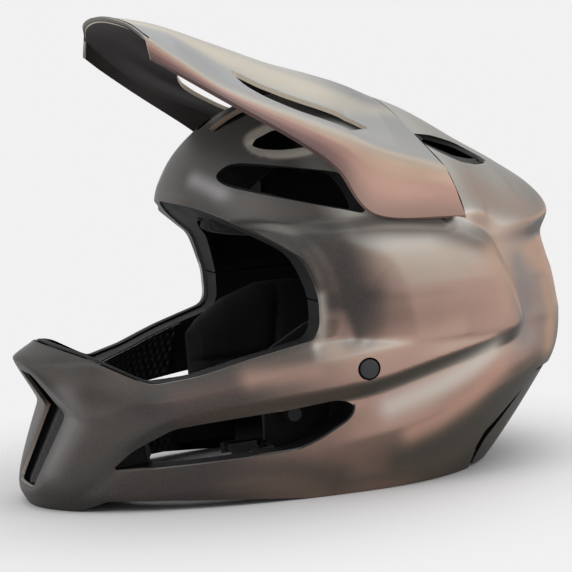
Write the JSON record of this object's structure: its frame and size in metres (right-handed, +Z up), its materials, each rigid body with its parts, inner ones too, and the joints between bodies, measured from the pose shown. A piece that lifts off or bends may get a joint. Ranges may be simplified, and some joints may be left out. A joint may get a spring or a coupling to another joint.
{
  "type": "full face bicycle helmet",
  "caption": "Full face downhill bike helmet with a pointed vented chin bar, open eye port, raised side panels and a long tilting visor",
  "frame": {"origin": "centre of the bounding box on the floor plane the helmet rests on", "axes": "+X the wearer's left, +Y to the rear, +Z up; the chin points to -Y"},
  "size_m": [0.2558, 0.365, 0.2985],
  "materials": {
    "shell_paint": "matte colour-shift flake paint over a moulded composite shell",
    "visor_paint": "matte colour-shift flake paint, dark underside",
    "panel_paint": "matte colour-shift flake paint",
    "pin_plastic": "moulded acetal",
    "socket_plastic": "moulded nylon",
    "crown_foam": "expanded bead foam, black",
    "chin_foam": "expanded bead foam, black",
    "lining_rubber": "dimpled soft rubber",
    "slip_plastic": "thin low-friction sheet",
    "anchor_rubber": "soft elastomer",
    "crown_fabric": "brushed knit over foam",
    "brow_fabric": "brushed knit over foam",
    "nape_fabric": "brushed knit over foam",
    "cheek_fabric": "knit over soft foam",
    "stud_plastic": "press stud",
    "mesh_plastic": "woven guard mesh",
    "trim_rubber": "soft edging",
    "bumper_rubber": "dark olive soft strip",
    "cap_plastic": "dark grey cap",
    "rivet_steel": "zinc plated",
    "webbing": "woven polyester webbing",
    "ring_steel": "plated steel wire",
    "keeper_rubber": "moulded loop",
    "screw_steel": "blackened steel"
  },
  "bodies": {
    "helmet": {"outer_shell": "shell_paint", "visor_sockets": "socket_plastic", "crown_liner": "crown_foam", "chin_liner": "chin_foam", "chin_lining": "lining_rubber", "slip_liner": "slip_plastic", "slip_anchors": "anchor_rubber", "crown_pad": "crown_fabric", "brow_pad": "brow_fabric", "nape_pad": "nape_fabric", "cheek_pad_left": "cheek_fabric", "cheek_pad_right": "cheek_fabric", "cheek_studs": "stud_plastic", "chin_mesh": "mesh_plastic", "crown_mesh": "mesh_plastic", "rear_mesh": "mesh_plastic", "port_trim": "trim_rubber", "rear_bumper": "bumper_rubber", "strap_caps": "cap_plastic", "strap_rivets": "rivet_steel", "strap_left": "webbing", "strap_right": "webbing", "strap_loop": "webbing", "strap_keeper": "keeper_rubber", "neck_panel": "panel_paint", "neck_screws": "screw_steel"},
    "visor_arm": {"visor": "visor_paint", "visor_pivot_pins": "pin_plastic"},
    "ring_upper": {"upper_ring": "ring_steel"},
    "ring_lower": {"lower_ring": "ring_steel"}
  },
  "joints": [
    {"name": "visor_tilt", "type": "hinge", "parent": "helmet", "child": "visor_arm", "pos_m": [0, 0.07, 0.171], "axis": [-1, 0, 0], "range_deg": [0, 12]},
    {"name": "upper_ring_swing", "type": "hinge", "parent": "helmet", "child": "ring_upper", "pos_m": [0.024, -0.025, 0.0158], "axis": [0, 1, 0], "range_deg": [0, 50]},
    {"name": "lower_ring_swing", "type": "hinge", "parent": "helmet", "child": "ring_lower", "pos_m": [0.024, -0.025, 0.0102], "axis": [0, 1, 0], "range_deg": [-25, 0]}
  ]
}
